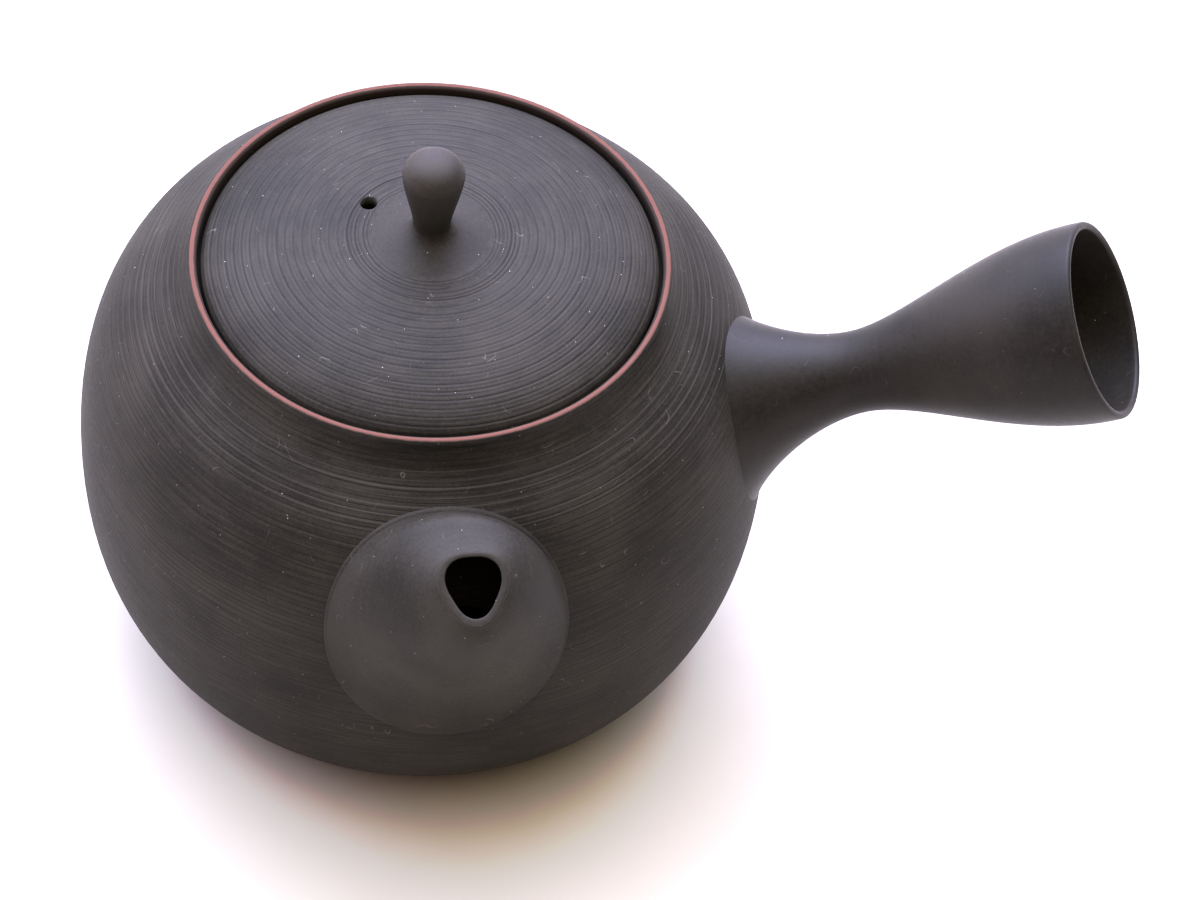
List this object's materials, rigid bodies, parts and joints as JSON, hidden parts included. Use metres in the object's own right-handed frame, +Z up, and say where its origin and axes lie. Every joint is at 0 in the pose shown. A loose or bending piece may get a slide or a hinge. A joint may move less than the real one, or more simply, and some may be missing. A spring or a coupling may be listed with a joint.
{
  "type": "side-handled teapot",
  "caption": "Round black stoneware teapot with a hollow side handle, a short wide-based spout, an inner strainer dome and a drop-in lid with a turned knob.",
  "frame": {"origin": "centre of the flat foot, on the surface that the pot stands on", "axes": "+Z up along the axis of the pot, +X towards the open end of the handle, the spout points towards -Y and a little towards the handle"},
  "size_m": [0.1671, 0.1201, 0.1012],
  "materials": {
    "turned_stoneware": "unglazed black stoneware with fine lines turned on the wheel",
    "smooth_stoneware": "unglazed black stoneware, burnished smooth and satin"
  },
  "bodies": {
    "pot": {"body": "turned_stoneware", "spout": "smooth_stoneware", "handle": "smooth_stoneware", "strainer": "smooth_stoneware"},
    "cover": {"lid": "turned_stoneware", "knob": "smooth_stoneware"}
  },
  "joints": [
    {"name": "lid_lift", "type": "slide", "parent": "pot", "child": "cover", "axis": [0, 0, 1], "range_m": [0, 0.06]}
  ]
}
